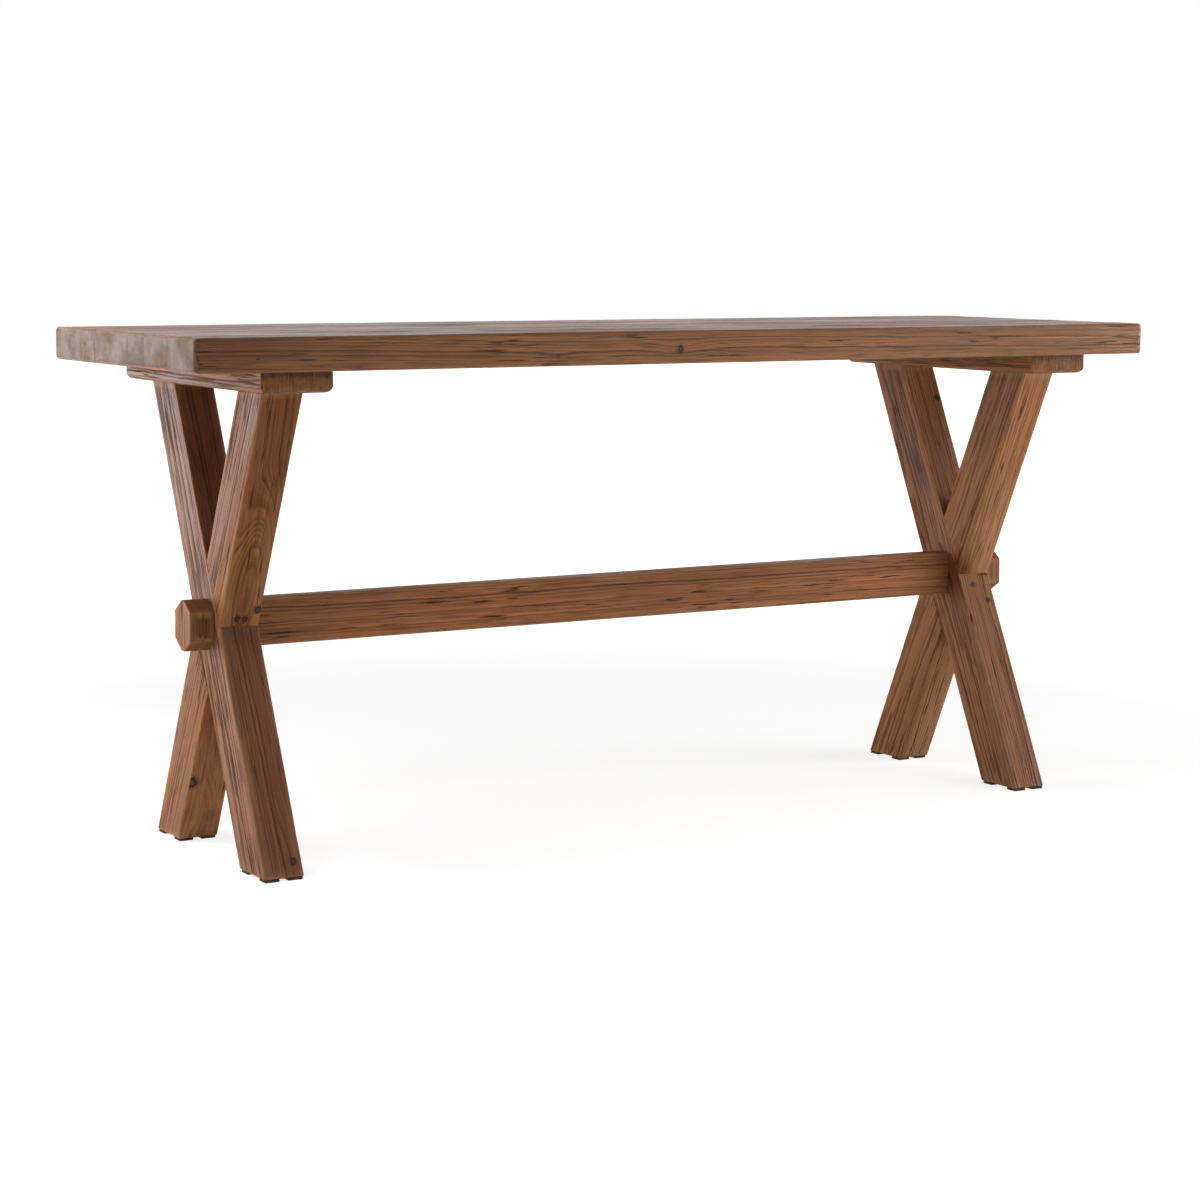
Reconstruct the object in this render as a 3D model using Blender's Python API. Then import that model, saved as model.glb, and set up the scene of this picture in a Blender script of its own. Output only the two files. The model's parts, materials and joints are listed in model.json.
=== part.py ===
"""Bar table of solid planks on two crossed-leg trestles tied by one stretcher.

Metres, +Z up, +X along the top. The origin is on the floor under the middle of the top.
"""

import math

import bmesh
import bpy
from mathutils import Matrix

# Top: planks glued edge to edge, listed from the front to the back
TABLE_HEIGHT = 0.925
TOP_LENGTH = 2.000
TOP_THICKNESS = 0.060
PLANK_WIDTHS = (0.118, 0.102, 0.074, 0.155, 0.069, 0.132)
TOP_EDGE_RADIUS = 0.005

# Cleats: battens under the top, one on each trestle
CLEAT_INSET = 0.025
CLEAT_OVERHANG = 0.0285
CLEAT_THICKNESS = 0.036
CLEAT_LOWER_RADIUS = 0.0105

# Trestles: two legs halved into each other
TRESTLE_INSET = 0.192
LEG_THICKNESS = 0.075
LEG_WIDTH = 0.0955
FOOT_SPREAD = 0.3765
LEG_TOP_INSET = 0.1084
LEG_EDGE_RADIUS = 0.003

# Stretcher between the trestles, at the height of their crossings
STRETCHER_HEIGHT = 0.085
STRETCHER_THICKNESS = 0.0385
STRETCHER_EDGE_RADIUS = 0.003

# Eight-sided blocks over the bolt heads, on the outer face of each crossing
BLOCK_DEPTH = 0.046
BLOCK_WIDTH = 0.070
BLOCK_HEIGHT = 0.090
BLOCK_TIP_WIDTH = 0.012
BLOCK_TIP_DROP = 0.020
BLOCK_EDGE_RADIUS = 0.0025

# Square pads under the corners of each foot
PAD_WIDTH = 0.028
PAD_THICKNESS = 0.004
PAD_INSET = 0.002
PAD_SPACING = 0.004
PAD_CORNER_RADIUS = 0.003

# Screws that hold the cleats to the wider planks
CLEAT_SCREW_DIAMETER = 0.005
CLEAT_SCREW_HEAD = 0.010
CLEAT_SCREW_COUNTERBORE = 0.008
CLEAT_SCREW_COVER = 0.025
SCREWED_PLANK = 0.100

# Screws that hold the legs to the cleats
LEG_SCREW_DIAMETER = 0.008
LEG_SCREW_HEAD_RIM = 0.0025
LEG_SCREW_HEAD_HEIGHT = 0.0053
LEG_SCREW_BITE = 0.060

# Bolts that draw the stretcher on to the trestles, with their washers and cross nuts
TIE_BOLT_DIAMETER = 0.010
TIE_BOLT_HEAD_RIM = 0.0035
TIE_BOLT_HEAD_HEIGHT = 0.0064
TIE_BOLT_RUNOUT = 0.006
WASHER_RIM = 0.008
WASHER_THICKNESS = 0.0025
CROSS_NUT_WALL = 0.003
CROSS_NUT_SETBACK = 0.040
CROSS_NUT_COVER = 0.004

# Dowels that keep the stretcher and the blocks from turning
STRETCHER_DOWEL_DIAMETER = 0.010
STRETCHER_DOWEL_BITE = 0.030
BLOCK_DOWEL_DIAMETER = 0.008
BLOCK_DOWEL_BITE = 0.020
DOWEL_COVER = 0.010
DOWEL_CHAMFER = 0.001

# Clearances, and how far a cutter reaches past the face that it cuts
SEAT_GAP = 0.0003
FIT_GAP = 0.0003
HOLE_RUNOUT = 0.002
CUT_MARGIN = 0.004

# Facets of the round forms
ROUND_STEPS = 3
HARDWARE_STEPS = 18

# Heights, spans and angles that follow from the sizes above
TOP_WIDTH = sum(PLANK_WIDTHS)
TOP_UNDERSIDE = TABLE_HEIGHT - TOP_THICKNESS
CLEAT_TOP = TOP_UNDERSIDE - SEAT_GAP
CLEAT_BOTTOM = CLEAT_TOP - CLEAT_THICKNESS
CLEAT_LENGTH = TOP_WIDTH - 2 * CLEAT_INSET
CLEAT_WIDTH = LEG_THICKNESS + 2 * CLEAT_OVERHANG
LEG_TOP = CLEAT_BOTTOM - SEAT_GAP
LEG_FOOT = PAD_THICKNESS + SEAT_GAP
LEG_TOP_REACH = CLEAT_LENGTH / 2 - LEG_TOP_INSET
LEG_SLOPE = (FOOT_SPREAD / 2 + LEG_TOP_REACH) / (LEG_TOP - LEG_FOOT)
LEG_TILT = math.atan(LEG_SLOPE)
LEG_HALF_SPAN = LEG_WIDTH / 2 / math.cos(LEG_TILT)
CROSSING_HEIGHT = LEG_FOOT + FOOT_SPREAD / 2 / LEG_SLOPE
TRESTLE_X = TOP_LENGTH / 2 - TRESTLE_INSET
LEG_FACE = LEG_THICKNESS / 2
STRETCHER_END = TRESTLE_X - LEG_FACE - SEAT_GAP
CLEAT_SCREW_OFFSET = (LEG_FACE + CLEAT_WIDTH / 2) / 2
TIE_BOLT_HOLE = TIE_BOLT_DIAMETER / 2 + FIT_GAP
WASHER_RADIUS = TIE_BOLT_DIAMETER / 2 + WASHER_RIM
CROSS_NUT_RADIUS = TIE_BOLT_DIAMETER / 2 + CROSS_NUT_WALL
TIE_BOLT_HEAD_CORNER = (TIE_BOLT_DIAMETER / 2 + TIE_BOLT_HEAD_RIM) / math.cos(math.pi / 6)
BLOCK_RECESS_RADIUS = max(WASHER_RADIUS, TIE_BOLT_HEAD_CORNER) + FIT_GAP
BLOCK_RECESS_DEPTH = WASHER_THICKNESS + TIE_BOLT_HEAD_HEIGHT + 2 * SEAT_GAP + HOLE_RUNOUT
STRETCHER_DOWEL_HEIGHT = (TIE_BOLT_HOLE + STRETCHER_HEIGHT / 2) / 2
BLOCK_DOWEL_HEIGHT = (BLOCK_RECESS_RADIUS + BLOCK_HEIGHT / 2) / 2
LEG_DOWEL_BITE = LEG_FACE - DOWEL_COVER

# A turned form points its Z axis along -X or +Y with these rotations
TO_MINUS_X = (0, -math.pi / 2, 0)
TO_PLUS_Y = (-math.pi / 2, 0, 0)


def clear_scene():
    """Removes every object from the scene."""
    for obj in list(bpy.data.objects):
        bpy.data.objects.remove(obj)


def make_material(name, colour, roughness, metallic=0.0):
    """A Principled material with one colour."""
    material = bpy.data.materials.new(name)
    material.use_nodes = True
    shader = material.node_tree.nodes["Principled BSDF"]
    shader.inputs["Base Color"].default_value = (*colour, 1.0)
    shader.inputs["Roughness"].default_value = roughness
    shader.inputs["Metallic"].default_value = metallic
    return material


def make_empty(name, location=(0, 0, 0), turn=0.0):
    """An empty that places the pieces parented to it."""
    empty = bpy.data.objects.new(name, None)
    empty.location = location
    empty.rotation_euler = (0, 0, turn)
    bpy.context.scene.collection.objects.link(empty)
    return empty


def make_object(name, bm, parent, material=None, location=(0, 0, 0), rotation=(0, 0, 0)):
    """Turns a bmesh into a named object under its parent, with smooth round faces."""
    bmesh.ops.recalc_face_normals(bm, faces=bm.faces)
    mesh = bpy.data.meshes.new(name)
    bm.to_mesh(mesh)
    bm.free()
    mesh.shade_smooth()
    mesh.set_sharp_from_angle(angle=math.radians(35))
    if material:
        mesh.materials.append(material)
    obj = bpy.data.objects.new(name, mesh)
    obj.parent = parent
    obj.location = location
    obj.rotation_euler = rotation
    bpy.context.scene.collection.objects.link(obj)
    return obj


def subtract(host, bm, label):
    """Cuts the solids in a bmesh, given in the host's own axes, out of the host."""
    cutter = make_object(f"{host.name}_{label}", bm, host.parent, None, host.location, host.rotation_euler)
    cutter.hide_render = True
    cutter.display_type = "WIRE"
    modifier = host.modifiers.new(label, "BOOLEAN")
    modifier.operation = "DIFFERENCE"
    modifier.solver = "EXACT"
    modifier.object = cutter


def add_prism(bm, outline, low_x, high_x):
    """Adds a solid with a (y, z) outline, from low_x to high_x."""
    low = [bm.verts.new((low_x, y, z)) for y, z in outline]
    high = [bm.verts.new((high_x, y, z)) for y, z in outline]
    bm.faces.new(low)
    bm.faces.new(high)
    for i in range(len(outline)):
        j = (i + 1) % len(outline)
        bm.faces.new((low[i], low[j], high[j], high[i]))


def add_box(bm, low, high):
    """Adds a box between two corners."""
    outline = [(low[1], low[2]), (high[1], low[2]), (high[1], high[2]), (low[1], high[2])]
    add_prism(bm, outline, low[0], high[0])


def round_edges(bm, radius, chosen):
    """Rounds the edges whose two end points satisfy the test."""
    edges = [edge for edge in bm.edges if chosen(edge.verts[0].co, edge.verts[1].co)]
    bmesh.ops.bevel(
        bm, geom=edges, offset=radius, offset_type="OFFSET", segments=ROUND_STEPS, profile=0.5, affect="EDGES"
    )


def same(a, b):
    """True where two coordinates agree."""
    return abs(a - b) < 1e-6


def turned_ring(bm, radius, height, steps, six_sided):
    """One ring of a turned form: round, or six-sided with the radius to its flats."""
    if radius == 0:
        return [bm.verts.new((0, 0, height))]
    ring = []
    for i in range(steps):
        angle = 2 * math.pi * i / steps
        reach = radius
        if six_sided:
            reach = radius / math.cos(angle % (math.pi / 3) - math.pi / 6)
        ring.append(bm.verts.new((reach * math.cos(angle), reach * math.sin(angle), height)))
    return ring


def add_turned(bm, profile, steps=HARDWARE_STEPS, location=(0, 0, 0), rotation=(0, 0, 0), six_sided=()):
    """Adds a solid turned about Z from (radius, height) points, bottom to top; some rows may be six-sided."""
    rings = [turned_ring(bm, r, h, steps, row in six_sided) for row, (r, h) in enumerate(profile)]
    for lower, upper in zip(rings, rings[1:]):
        for i in range(steps):
            j = (i + 1) % steps
            corners = [lower[i % len(lower)], lower[j % len(lower)], upper[j % len(upper)], upper[i % len(upper)]]
            bm.faces.new(list(dict.fromkeys(corners)))
    for ring in (rings[0], rings[-1]):
        if len(ring) > 1:
            bm.faces.new(ring)
    turn = Matrix.Rotation(rotation[1], 4, "Y") @ Matrix.Rotation(rotation[0], 4, "X")
    points = [vert for ring in rings for vert in ring]
    bmesh.ops.transform(bm, matrix=Matrix.Translation(location) @ turn, verts=points)


def add_hole(bm, radius, low, high, location=(0, 0, 0), rotation=(0, 0, 0)):
    """Adds a plain round hole's solid along its own axis, from low to high."""
    add_turned(bm, [(radius, low), (radius, high)], HARDWARE_STEPS, location, rotation)


def plank_spans():
    """Front and back of each plank, with half a glue gap on each seam."""
    spans = []
    front = -TOP_WIDTH / 2
    for number, width in enumerate(PLANK_WIDTHS):
        back = front + width
        low = front if number == 0 else front + FIT_GAP / 2
        high = back if number == len(PLANK_WIDTHS) - 1 else back - FIT_GAP / 2
        spans.append((low, high))
        front = back
    return spans


def cleat_screw_places():
    """Places along a cleat of its screws: one under each wide plank, on alternate sides of the legs."""
    reach = CLEAT_LENGTH / 2
    places = []
    for width, (front, back) in zip(PLANK_WIDTHS, plank_spans()):
        if width >= SCREWED_PLANK:
            side = 1 if len(places) % 2 else -1
            middle = (max(front, -reach) + min(back, reach)) / 2
            places.append((side * CLEAT_SCREW_OFFSET, middle))
    return places


def build_plank(number, span, table, material):
    """One plank of the top, rounded where it lies on the outside of the slab."""
    front, back = span
    outer = [y for y in span if same(abs(y), TOP_WIDTH / 2)]
    bm = bmesh.new()
    add_box(bm, (-TOP_LENGTH / 2, front, TOP_UNDERSIDE), (TOP_LENGTH / 2, back, TABLE_HEIGHT))

    def on_outside(a, b):
        across_end = same(a.x, b.x) and same(a.z, b.z)
        on_side = any(same(a.y, y) and same(b.y, y) for y in outer)
        return across_end or on_side

    round_edges(bm, TOP_EDGE_RADIUS, on_outside)
    plank = make_object(f"top_plank_{number}", bm, table, material)
    holes = bmesh.new()
    hole_top = TABLE_HEIGHT - CLEAT_SCREW_COVER + FIT_GAP
    for end in (-1, 1):
        for across, along in cleat_screw_places():
            if front < along < back:
                place = (end * TRESTLE_X - end * across, along, 0)
                radius = CLEAT_SCREW_DIAMETER / 2 + FIT_GAP
                add_hole(holes, radius, TOP_UNDERSIDE - CUT_MARGIN, hole_top, place)
    if holes.verts:
        subtract(plank, holes, "screw_holes")
    else:
        holes.free()


def leg_middle(lean, height):
    """How far across a leg's middle is at a height: lean +1 has its foot on the -Y side."""
    return lean * (height - CROSSING_HEIGHT) * LEG_SLOPE


def leg_screw_place(lean):
    """Where the screw goes down into a leg, in the middle of the leg at half of its bite."""
    return leg_middle(lean, LEG_TOP - LEG_SCREW_BITE / 2)


def build_cleat(side, end, trestle, material):
    """The batten on a trestle, with the holes for its screws and for the leg screws."""
    half_width = CLEAT_WIDTH / 2
    half_length = CLEAT_LENGTH / 2
    bm = bmesh.new()
    add_box(bm, (-half_width, -half_length, CLEAT_BOTTOM), (half_width, half_length, CLEAT_TOP))
    round_edges(bm, CLEAT_LOWER_RADIUS, lambda a, b: same(a.z, CLEAT_BOTTOM) and same(b.z, CLEAT_BOTTOM))
    cleat = make_object(f"{side}_cleat", bm, trestle, material)
    holes = bmesh.new()
    shank = CLEAT_SCREW_DIAMETER / 2 + FIT_GAP
    head = CLEAT_SCREW_HEAD / 2 + FIT_GAP
    seat = CLEAT_BOTTOM + CLEAT_SCREW_COUNTERBORE
    neck = seat + head - shank
    stepped = [
        (head, CLEAT_BOTTOM - CUT_MARGIN),
        (head, seat),
        (shank, neck),
        (shank, CLEAT_TOP + CUT_MARGIN),
    ]
    for across, along in cleat_screw_places():
        add_turned(holes, stepped, location=(across, -end * along, 0))
    shank = LEG_SCREW_DIAMETER / 2 + FIT_GAP
    seat = CLEAT_TOP - LEG_SCREW_HEAD_HEIGHT - SEAT_GAP
    corner = (LEG_SCREW_DIAMETER / 2 + LEG_SCREW_HEAD_RIM) / math.cos(math.pi / 6) + FIT_GAP
    stepped = [
        (shank, CLEAT_BOTTOM - CUT_MARGIN),
        (shank, seat - SEAT_GAP),
        (corner, seat - SEAT_GAP),
        (corner, CLEAT_TOP + CUT_MARGIN),
    ]
    for lean in (-1, 1):
        add_turned(holes, stepped, location=(0, leg_screw_place(lean), 0))
    subtract(cleat, holes, "screw_holes")


def build_leg(name, lean, trestle, material):
    """One leg, cut level at both ends; lean +1 keeps the outer half of its thickness at the crossing."""
    bm = bmesh.new()
    outline = []
    for height, sides in ((LEG_FOOT, (-1, 1)), (LEG_TOP, (1, -1))):
        for edge in sides:
            outline.append((leg_middle(lean, height) + edge * LEG_HALF_SPAN, height))
    add_prism(bm, outline, -LEG_FACE, LEG_FACE)

    def long_or_foot(a, b):
        at_foot = same(a.z, LEG_FOOT) and same(b.z, LEG_FOOT)
        return at_foot or not same(a.z, b.z)

    round_edges(bm, LEG_EDGE_RADIUS, long_or_foot)
    leg = make_object(name, bm, trestle, material)
    subtract(leg, lap_notch(lean), "lap")
    subtract(leg, leg_holes(lean), "holes")


def lap_notch(lean):
    """The half of the crossing that a leg gives up to the other leg."""
    half = LEG_WIDTH / 2 + FIT_GAP
    reach = LEG_WIDTH / 2 / math.tan(LEG_TILT) + CUT_MARGIN
    along = (-lean * math.sin(LEG_TILT), math.cos(LEG_TILT))
    across = (math.cos(LEG_TILT), lean * math.sin(LEG_TILT))
    outline = []
    for step, side in ((-1, -1), (-1, 1), (1, 1), (1, -1)):
        y = step * reach * along[0] + side * half * across[0]
        z = step * reach * along[1] + side * half * across[1]
        outline.append((y, CROSSING_HEIGHT + z))
    bm = bmesh.new()
    faces = sorted((-lean * FIT_GAP / 2, lean * (LEG_FACE + CUT_MARGIN)))
    add_prism(bm, outline, *faces)
    return bm


def leg_holes(lean):
    """The bolt hole, the dowel holes of the leg's own half and the hole for the screw from the cleat."""
    bm = bmesh.new()
    reach = LEG_FACE + CUT_MARGIN
    add_hole(bm, TIE_BOLT_HOLE, -reach, reach, (0, 0, CROSSING_HEIGHT), TO_MINUS_X)
    if lean > 0:
        rise, radius = BLOCK_DOWEL_HEIGHT, BLOCK_DOWEL_DIAMETER / 2
        low, high = LEG_FACE - LEG_DOWEL_BITE - FIT_GAP, reach
    else:
        rise, radius = STRETCHER_DOWEL_HEIGHT, STRETCHER_DOWEL_DIAMETER / 2
        low, high = -reach, -LEG_FACE + LEG_DOWEL_BITE + FIT_GAP
    for step in (-1, 1):
        place = (0, 0, CROSSING_HEIGHT + step * rise)
        add_hole(bm, radius + FIT_GAP, low, high, place, TO_MINUS_X)
    bottom = LEG_TOP - LEG_SCREW_BITE - HOLE_RUNOUT
    radius = LEG_SCREW_DIAMETER / 2 + FIT_GAP
    add_hole(bm, radius, bottom, LEG_TOP + CUT_MARGIN, (0, leg_screw_place(lean), 0))
    return bm


def build_stretcher(table, material):
    """The beam between the trestles, bored at each end for its bolt, cross nut and dowels."""
    half_height = STRETCHER_HEIGHT / 2
    half_thickness = STRETCHER_THICKNESS / 2
    bm = bmesh.new()
    low = (-STRETCHER_END, -half_thickness, CROSSING_HEIGHT - half_height)
    high = (STRETCHER_END, half_thickness, CROSSING_HEIGHT + half_height)
    add_box(bm, low, high)
    round_edges(bm, STRETCHER_EDGE_RADIUS, lambda a, b: not same(a.x, b.x))
    stretcher = make_object("stretcher", bm, table, material)
    end_holes = bmesh.new()
    nut_holes = bmesh.new()
    bolt_depth = CROSS_NUT_SETBACK + CROSS_NUT_RADIUS + TIE_BOLT_RUNOUT + HOLE_RUNOUT
    for end in (-1, 1):
        middle = (end * STRETCHER_END, 0, CROSSING_HEIGHT)
        low, high = sorted((end * bolt_depth, -end * CUT_MARGIN))
        add_hole(end_holes, TIE_BOLT_HOLE, low, high, middle, TO_MINUS_X)
        for step in (-1, 1):
            place = (middle[0], 0, CROSSING_HEIGHT + step * STRETCHER_DOWEL_HEIGHT)
            low, high = sorted((end * (STRETCHER_DOWEL_BITE + FIT_GAP), -end * CUT_MARGIN))
            add_hole(end_holes, STRETCHER_DOWEL_DIAMETER / 2 + FIT_GAP, low, high, place, TO_MINUS_X)
        nut_place = (end * (STRETCHER_END - CROSS_NUT_SETBACK), 0, CROSSING_HEIGHT)
        front = -half_thickness + CROSS_NUT_COVER - FIT_GAP
        back = half_thickness + CUT_MARGIN
        add_hole(nut_holes, CROSS_NUT_RADIUS + FIT_GAP, front, back, nut_place, TO_PLUS_Y)
    subtract(stretcher, end_holes, "end_holes")
    subtract(stretcher, nut_holes, "nut_holes")


def build_block(side, trestle, material):
    """The eight-sided block on a crossing, hollowed for the bolt head and bored for its dowels."""
    half_width = BLOCK_WIDTH / 2
    half_height = BLOCK_HEIGHT / 2
    half_tip = BLOCK_TIP_WIDTH / 2
    shoulder = half_height - BLOCK_TIP_DROP
    corners = [(half_tip, half_height), (half_width, shoulder), (half_width, -shoulder), (half_tip, -half_height)]
    corners += [(-y, z) for y, z in reversed(corners)]
    inner = -LEG_FACE - SEAT_GAP
    outer = inner - BLOCK_DEPTH
    bm = bmesh.new()
    add_prism(bm, [(y, CROSSING_HEIGHT + z) for y, z in corners], outer, inner)
    round_edges(bm, BLOCK_EDGE_RADIUS, lambda a, b: same(a.x, outer) and same(b.x, outer))
    block = make_object(f"{side}_end_block", bm, trestle, material)
    hollow = bmesh.new()
    middle = (inner, 0, CROSSING_HEIGHT)
    add_hole(hollow, BLOCK_RECESS_RADIUS, -CUT_MARGIN, BLOCK_RECESS_DEPTH, middle, TO_MINUS_X)
    for step in (-1, 1):
        place = (inner, 0, CROSSING_HEIGHT + step * BLOCK_DOWEL_HEIGHT)
        depth = BLOCK_DOWEL_BITE + FIT_GAP
        add_hole(hollow, BLOCK_DOWEL_DIAMETER / 2 + FIT_GAP, -CUT_MARGIN, depth, place, TO_MINUS_X)
    subtract(block, hollow, "hollow")


def pad_rows(half_span):
    """Offsets of the pads across half a foot: two rows, or one where the foot is too narrow for two."""
    offset = half_span - PAD_INSET - PAD_WIDTH / 2
    if 2 * offset < PAD_WIDTH + PAD_SPACING:
        return (0.0,)
    return (-offset, offset)


def build_pads(foot_name, lean, trestle, material):
    """The pads under one foot."""
    half = PAD_WIDTH / 2
    number = 0
    for along in pad_rows(LEG_HALF_SPAN):
        for across in pad_rows(LEG_FACE):
            number += 1
            bm = bmesh.new()
            add_box(bm, (-half, -half, 0), (half, half, PAD_THICKNESS))
            round_edges(bm, PAD_CORNER_RADIUS, lambda a, b: not same(a.z, b.z))
            place = (across, leg_middle(lean, LEG_FOOT) + along, 0)
            make_object(f"{foot_name}_pad_{number}", bm, trestle, material, place)


def build_cleat_screws(side, end, trestle, material):
    """Countersunk screws from under the cleat up into the planks."""
    shank = CLEAT_SCREW_DIAMETER / 2
    head = CLEAT_SCREW_HEAD / 2
    rise = head - shank
    seat = CLEAT_BOTTOM + CLEAT_SCREW_COUNTERBORE - SEAT_GAP
    tip = TABLE_HEIGHT - CLEAT_SCREW_COVER - seat
    profile = [(head, 0), (shank, rise), (shank, tip - CLEAT_SCREW_DIAMETER), (0, tip)]
    for number, (across, along) in enumerate(cleat_screw_places(), 1):
        bm = bmesh.new()
        add_turned(bm, profile)
        place = (across, -end * along, seat)
        make_object(f"{side}_cleat_screw_{number}", bm, trestle, material, place)


def build_leg_screw(name, lean, trestle, material):
    """A six-sided screw from the top of the cleat down into a leg."""
    shank = LEG_SCREW_DIAMETER / 2
    flats = shank + LEG_SCREW_HEAD_RIM
    seat = CLEAT_TOP - SEAT_GAP - LEG_SCREW_HEAD_HEIGHT
    tip = LEG_TOP - LEG_SCREW_BITE - seat
    profile = [(0, tip), (shank, tip + LEG_SCREW_DIAMETER), (shank, 0), (flats, 0), (flats, LEG_SCREW_HEAD_HEIGHT)]
    bm = bmesh.new()
    add_turned(bm, profile, six_sided=(3, 4))
    make_object(name, bm, trestle, material, (0, leg_screw_place(lean), seat))


def build_tie_bolt(side, trestle, material):
    """The bolt through a crossing into the stretcher, with its head under the block."""
    shank = TIE_BOLT_DIAMETER / 2
    flats = shank + TIE_BOLT_HEAD_RIM
    under_head = WASHER_THICKNESS + 2 * SEAT_GAP
    reach = CROSS_NUT_SETBACK + CROSS_NUT_RADIUS + TIE_BOLT_RUNOUT
    length = under_head + LEG_THICKNESS + SEAT_GAP + reach
    chamfer = TIE_BOLT_DIAMETER / 10
    profile = [
        (shank - chamfer, -length),
        (shank, chamfer - length),
        (shank, 0),
        (flats, 0),
        (flats, TIE_BOLT_HEAD_HEIGHT),
    ]
    bm = bmesh.new()
    add_turned(bm, profile, six_sided=(3, 4))
    place = (-LEG_FACE - under_head, 0, CROSSING_HEIGHT)
    make_object(f"{side}_tie_bolt", bm, trestle, material, place, TO_MINUS_X)


def build_washer(side, trestle, material):
    """The washer between the bolt head and the crossing."""
    bm = bmesh.new()
    add_hole(bm, WASHER_RADIUS, 0, WASHER_THICKNESS)
    place = (-LEG_FACE - SEAT_GAP, 0, CROSSING_HEIGHT)
    washer = make_object(f"{side}_tie_washer", bm, trestle, material, place, TO_MINUS_X)
    hole = bmesh.new()
    add_hole(hole, TIE_BOLT_HOLE, -CUT_MARGIN, WASHER_THICKNESS + CUT_MARGIN)
    subtract(washer, hole, "bore")


def build_cross_nut(side, end, table, material):
    """The round cross nut in the stretcher that the tie bolt screws into."""
    half_length = STRETCHER_THICKNESS / 2 - CROSS_NUT_COVER
    bm = bmesh.new()
    add_hole(bm, CROSS_NUT_RADIUS, -half_length, half_length)
    place = (end * (STRETCHER_END - CROSS_NUT_SETBACK), 0, CROSSING_HEIGHT)
    nut = make_object(f"{side}_cross_nut", bm, table, material, place, TO_PLUS_Y)
    bore = bmesh.new()
    reach = CROSS_NUT_RADIUS + CUT_MARGIN
    add_hole(bore, TIE_BOLT_HOLE, -reach, reach, rotation=TO_MINUS_X)
    subtract(nut, bore, "bore")


def build_dowel(name, radius, low, high, trestle, height, material):
    """A chamfered dowel across the joint between low and high, measured outwards along X."""
    bm = bmesh.new()
    profile = [
        (radius - DOWEL_CHAMFER, low),
        (radius, low + DOWEL_CHAMFER),
        (radius, high - DOWEL_CHAMFER),
        (radius - DOWEL_CHAMFER, high),
    ]
    add_turned(bm, profile)
    make_object(name, bm, trestle, material, (0, 0, height), TO_MINUS_X)


def build_dowels(side, trestle, material):
    """The two dowels of the stretcher's end and the two of the block, above and below the bolt."""
    for label, step in (("lower", -1), ("upper", 1)):
        low = -LEG_FACE - SEAT_GAP - STRETCHER_DOWEL_BITE
        high = -LEG_FACE + LEG_DOWEL_BITE
        height = CROSSING_HEIGHT + step * STRETCHER_DOWEL_HEIGHT
        radius = STRETCHER_DOWEL_DIAMETER / 2
        build_dowel(f"{side}_stretcher_dowel_{label}", radius, low, high, trestle, height, material)
        low = LEG_FACE - LEG_DOWEL_BITE
        high = LEG_FACE + SEAT_GAP + BLOCK_DOWEL_BITE
        height = CROSSING_HEIGHT + step * BLOCK_DOWEL_HEIGHT
        radius = BLOCK_DOWEL_DIAMETER / 2
        build_dowel(f"{side}_block_dowel_{label}", radius, low, high, trestle, height, material)


def build_trestle(side, end, trestle, materials):
    """Everything that one trestle carries; its own -X is the outside of the table."""
    build_cleat(side, end, trestle, materials["cleat"])
    build_cleat_screws(side, end, trestle, materials["screw"])
    for lean in (1, -1):
        foot = "front" if lean * end < 0 else "back"
        name = f"{side}_leg_{foot}"
        build_leg(name, lean, trestle, materials["leg"])
        build_pads(f"{side}_{foot}", lean, trestle, materials["pad"])
        build_leg_screw(f"{name}_screw", lean, trestle, materials["screw"])
    build_block(side, trestle, materials["block"])
    build_tie_bolt(side, trestle, materials["bolt"])
    build_washer(side, trestle, materials["bolt"])
    build_dowels(side, trestle, materials["dowel"])


def build_table():
    """The whole table: the second trestle is the first one turned round."""
    clear_scene()
    materials = {
        "top": make_material("top_wood", (0.190, 0.085, 0.036), 0.45),
        "cleat": make_material("cleat_wood", (0.150, 0.070, 0.032), 0.50),
        "leg": make_material("leg_wood", (0.165, 0.072, 0.031), 0.48),
        "stretcher": make_material("stretcher_wood", (0.150, 0.066, 0.028), 0.48),
        "block": make_material("block_wood", (0.120, 0.054, 0.025), 0.50),
        "dowel": make_material("dowel_wood", (0.480, 0.300, 0.150), 0.60),
        "pad": make_material("pad_felt", (0.020, 0.018, 0.016), 0.95),
        "screw": make_material("screw_steel", (0.420, 0.400, 0.360), 0.35, 1.0),
        "bolt": make_material("bolt_steel", (0.480, 0.480, 0.470), 0.30, 1.0),
    }
    table = make_empty("table")
    for number, span in enumerate(plank_spans(), 1):
        build_plank(number, span, table, materials["top"])
    build_stretcher(table, materials["stretcher"])
    for side, end, turn in (("left", -1, 0.0), ("right", 1, math.pi)):
        trestle = make_empty(f"{side}_trestle", (end * TRESTLE_X, 0, 0), turn)
        trestle.parent = table
        build_trestle(side, end, trestle, materials)
        build_cross_nut(side, end, table, materials["bolt"])


build_table()
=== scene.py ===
"""Looks of the bar table: worn, stained softwood boards, floor pads and fasteners.

Metres, +Z up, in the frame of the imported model. Each board is swept along its length with rounded, worn
edges, cut to the laps and bores of its solid, and coloured by a wood that grows through the whole board.
In a board's own frame u runs along it, and v and w across it.
"""

import json
import math
from dataclasses import dataclass, field

import bmesh
import bpy
import numpy as np
from mathutils import Matrix, Vector, noise


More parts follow.
